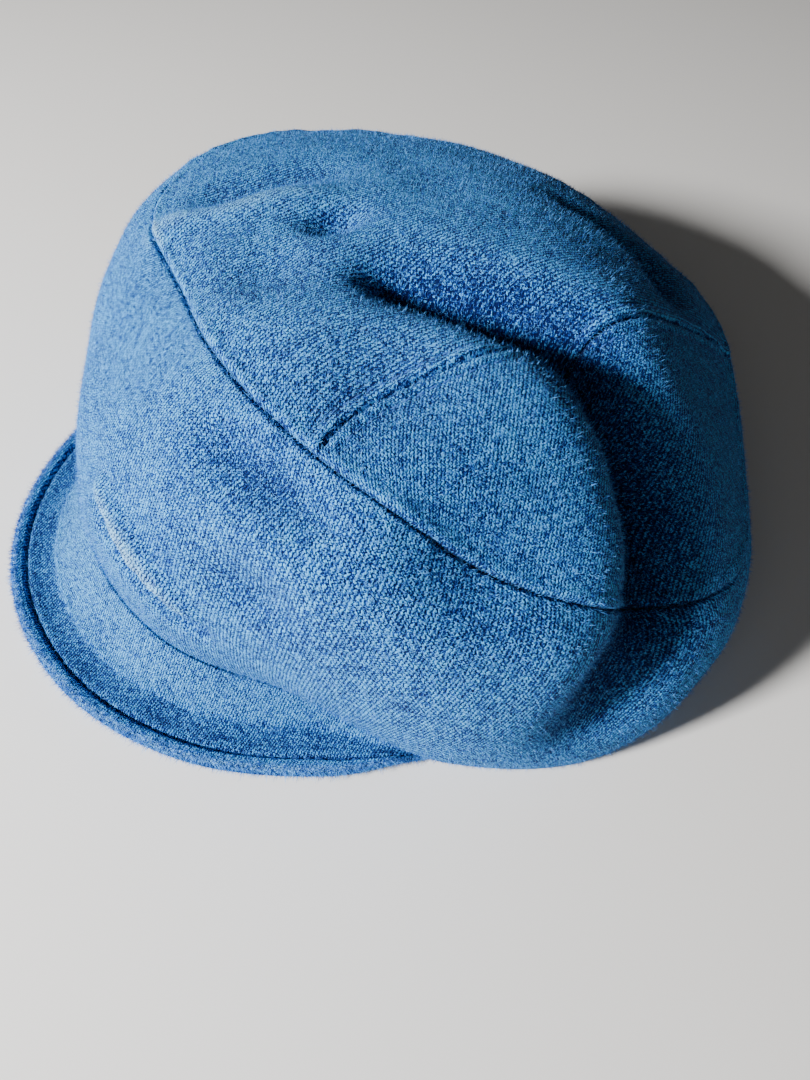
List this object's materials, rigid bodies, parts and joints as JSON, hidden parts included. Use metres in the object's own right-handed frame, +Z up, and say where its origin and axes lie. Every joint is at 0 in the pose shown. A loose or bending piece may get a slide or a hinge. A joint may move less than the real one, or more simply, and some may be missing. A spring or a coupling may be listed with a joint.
{
  "type": "work cap",
  "caption": "Soft cloth work cap with a short stitched peak, an upright side panel and a top in halves, slumped into a deep fold and open below for a head.",
  "frame": {"origin": "middle of the cap's box, on the surface that it lies on", "axes": "+Z up, -Y the way the peak points, +X the wearer's left"},
  "size_m": [0.2534, 0.255, 0.098],
  "materials": {
    "cloth": "brushed heathered blue twill"
  },
  "bodies": {
    "root": {"crown_top_left": "cloth", "crown_top_right": "cloth", "side_panel": "cloth", "peak": "cloth"}
  },
  "joints": []
}
